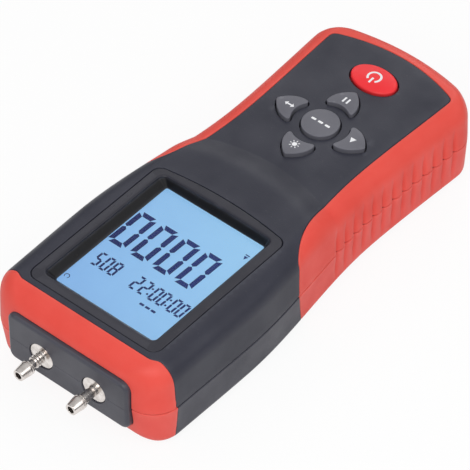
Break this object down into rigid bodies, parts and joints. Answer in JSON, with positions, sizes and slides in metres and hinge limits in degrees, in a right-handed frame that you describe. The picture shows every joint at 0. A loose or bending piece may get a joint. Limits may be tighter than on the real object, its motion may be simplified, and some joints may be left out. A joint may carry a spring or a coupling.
{
  "type": "digital manometer",
  "caption": "Hand-held digital manometer with a waisted black case, soft red fluted grip, light blue display, round key pad and metal hose barbs on its front block.",
  "frame": {"origin": "middle of the instrument's outline with its barbs, on the plane that its feet rest on", "axes": "+X to the reader's right, +Y from the handle to the hose barbs, +Z out of the face"},
  "size_m": [0.084, 0.2114, 0.0396],
  "materials": {
    "case_black": "satin",
    "case_dark": "satin",
    "soft_red": "matte soft-touch",
    "block_black": "satin",
    "nickel": "turned and plated",
    "brass": "turned",
    "black_rubber": "matte",
    "clear_rubber": "milky",
    "pink_rubber": "matte",
    "clear_lens": "clear",
    "display_blue": "lit from behind",
    "light_guide": "frosted",
    "white_plastic": "satin",
    "key_red": "smooth",
    "key_grey": "smooth",
    "board_green": "solder resist",
    "steel": "plated",
    "battery_jacket": "printed jacket, left plain",
    "lead_red": "smooth"
  },
  "bodies": {
    "case": {"top_case": "case_black", "bottom_case": "case_dark", "grip_top": "soft_red", "grip_bottom": "soft_red", "cap_top": "soft_red", "cap_bottom": "soft_red", "port_block": "block_black", "barb_left": "nickel", "barb_right": "nickel", "barb_nuts": "brass", "barb_seals": "black_rubber", "bezel": "case_black", "window": "clear_lens", "lcd_cell": "display_blue", "backlight": "light_guide", "lcd_frame": "white_plastic", "contact_strips": "pink_rubber", "key_mat": "key_grey", "main_board": "board_green", "board_pads": "brass", "board_chips": "block_black", "board_screws": "steel", "buzzer": "block_black", "pressure_sensor": "white_plastic", "tube_left": "clear_rubber", "tube_right": "clear_rubber", "battery": "battery_jacket", "battery_clip": "block_black", "battery_leads": "lead_red", "case_screws": "steel", "feet": "black_rubber"},
    "key_power": {"key_power": "key_red"},
    "key_hub": {"key_hub": "key_grey"},
    "key_left": {"key_left": "key_grey"},
    "key_right": {"key_right": "key_grey"},
    "key_upper": {"key_upper": "key_grey"},
    "key_lower": {"key_lower": "key_grey"},
    "battery_door": {"battery_door": "case_dark", "door_screw": "steel"}
  },
  "joints": [
    {"name": "power_press", "type": "slide", "parent": "case", "child": "key_power", "axis": [0, 0, -1], "range_m": [0, 0.0009], "stiffness_N_per_m": 500, "springref_m": -0.0004},
    {"name": "hub_press", "type": "slide", "parent": "case", "child": "key_hub", "axis": [0, 0, -1], "range_m": [0, 0.0009], "stiffness_N_per_m": 500, "springref_m": -0.0004},
    {"name": "left_press", "type": "slide", "parent": "case", "child": "key_left", "axis": [0, 0, -1], "range_m": [0, 0.0009], "stiffness_N_per_m": 500, "springref_m": -0.0004},
    {"name": "right_press", "type": "slide", "parent": "case", "child": "key_right", "axis": [0, 0, -1], "range_m": [0, 0.0009], "stiffness_N_per_m": 500, "springref_m": -0.0004},
    {"name": "upper_press", "type": "slide", "parent": "case", "child": "key_upper", "axis": [0, 0, -1], "range_m": [0, 0.0009], "stiffness_N_per_m": 500, "springref_m": -0.0004},
    {"name": "lower_press", "type": "slide", "parent": "case", "child": "key_lower", "axis": [0, 0, -1], "range_m": [0, 0.0009], "stiffness_N_per_m": 500, "springref_m": -0.0004},
    {"name": "door_lift", "type": "slide", "parent": "case", "child": "battery_door", "axis": [0, 0, -1], "range_m": [0, 0.03]}
  ]
}
